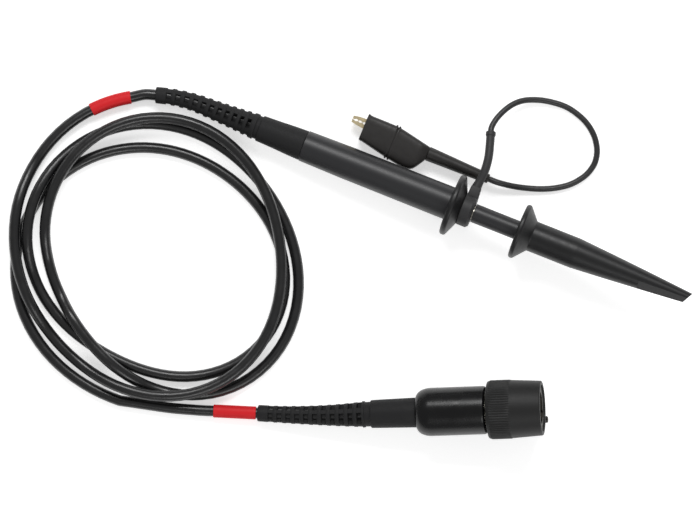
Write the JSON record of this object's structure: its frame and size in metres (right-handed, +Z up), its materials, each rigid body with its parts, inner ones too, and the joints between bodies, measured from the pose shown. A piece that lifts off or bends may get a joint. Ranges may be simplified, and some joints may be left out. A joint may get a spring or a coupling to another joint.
{
  "type": "oscilloscope probe",
  "caption": "Oscilloscope probe with a retractable hook tip, a swivelling ground lead with a crocodile clip, a coiled coaxial cable and a bayonet plug.",
  "frame": {"origin": "on the table under the middle of the probe, which is the barrel, its strain relief, guard, ground ring and hook tip without the cords", "axes": "+X from the strain relief to the tip of the probe, +Z up, +Y to the side where the ground clip lies"},
  "size_m": [0.2075, 0.1398, 0.0242],
  "materials": {
    "boot_rubber": "matte",
    "barrel_plastic": "satin",
    "sleeve_plastic": "satin",
    "ring_plastic": "satin",
    "housing_plastic": "gloss",
    "grip_plastic": "matte",
    "cable_jacket": "gloss",
    "marker_band": "satin",
    "lead_jacket": "satin",
    "clip_vinyl": "satin",
    "jaw_steel": "satin",
    "nickel": "satin",
    "brass": "satin",
    "spring_steel": "satin",
    "tip_steel": "satin",
    "pin_metal": "dark oxide",
    "white_insulator": "matte",
    "resistor_ceramic": "matte",
    "capacitor_ceramic": "matte",
    "gasket_rubber": "matte",
    "board_laminate": "satin",
    "board_chips": "matte"
  },
  "bodies": {
    "probe": {"probe_boot": "boot_rubber", "barrel_shell": "barrel_plastic", "shield_tube": "brass", "cable_head_end": "cable_jacket", "head_ferrule": "brass", "finger_guard": "barrel_plastic", "nose_tube": "nickel", "tip_insulator": "white_insulator", "tip_needle": "tip_steel", "input_resistor": "resistor_ceramic", "input_capacitor": "capacitor_ceramic", "cable_coil": "cable_jacket", "cable_tail": "cable_jacket", "coil_band": "marker_band", "tail_band": "marker_band", "plug_boot": "boot_rubber", "cable_plug_end": "cable_jacket", "plug_ferrule": "brass", "housing_top": "housing_plastic", "housing_bottom": "housing_plastic", "housing_screws": "spring_steel", "match_board": "board_laminate", "board_parts": "board_chips", "trimmer_body": "white_insulator", "readout_spring": "spring_steel", "connector_body": "nickel", "outer_contact": "nickel", "contact_insulator": "white_insulator", "centre_pin": "brass", "contact_gasket": "gasket_rubber", "spring_washer": "spring_steel", "retaining_ring": "spring_steel"},
    "ground_lead": {"ring_collar": "nickel", "ring_shell": "ring_plastic", "ground_arm": "lead_jacket", "ground_wire": "lead_jacket", "clip_sleeve": "clip_vinyl", "clip_boot": "clip_vinyl", "fixed_jaw": "jaw_steel", "jaw_pin": "jaw_steel", "jaw_spring": "spring_steel"},
    "clip_jaw": {"moving_jaw": "jaw_steel"},
    "hook_tip": {"hook_core": "barrel_plastic", "tip_socket": "brass", "hook_wire": "tip_steel", "hook_spring": "spring_steel"},
    "hook_grip": {"hook_sleeve": "sleeve_plastic"},
    "coupling": {"bayonet_nut": "nickel", "grip_ring": "grip_plastic"},
    "readout": {"readout_pin": "pin_metal"},
    "trimmer": {"trimmer_screw": "brass"}
  },
  "joints": [
    {"name": "hook_tip_pull_off", "type": "slide", "parent": "probe", "child": "hook_tip", "axis": [0.9973, 0, 0.0732], "range_m": [0, 0.03]},
    {"name": "hook_sleeve_retract", "type": "slide", "parent": "hook_tip", "child": "hook_grip", "axis": [0.9973, 0, 0.0732], "range_m": [-0.008, 0], "stiffness_N_per_m": 120, "springref_m": 0.006, "deforming": ["hook_spring"]},
    {"name": "ground_ring_swivel", "type": "hinge", "parent": "probe", "child": "ground_lead", "pos_m": [0.01328, 0, 0.01009], "axis": [0.9973, 0, 0.0732], "continuous": true},
    {"name": "clip_jaw_open", "type": "hinge", "parent": "ground_lead", "child": "clip_jaw", "pos_m": [-0.01341, 0.01169, 0.0034], "axis": [0, 0, 1], "range_deg": [0, 12], "stiffness_Nm_per_rad": 0.02, "springref_deg": -11.46, "deforming": ["jaw_spring"]},
    {"name": "coupling_ring_turn", "type": "hinge", "parent": "probe", "child": "coupling", "pos_m": [0.04409, -0.05529, 0.01332], "axis": [0.9035, 0.4023, 0.1479], "continuous": true},
    {"name": "readout_pin_press", "type": "slide", "parent": "probe", "child": "readout", "axis": [0.9035, 0.4023, 0.1479], "range_m": [-0.0015, 0], "stiffness_N_per_m": 150, "springref_m": 0.002, "deforming": ["readout_spring"]},
    {"name": "trimmer_turn", "type": "hinge", "parent": "probe", "child": "trimmer", "pos_m": [0.03541, -0.05796, 0.00661], "axis": [-0.2776, 0.2865, 0.917], "continuous": true}
  ]
}
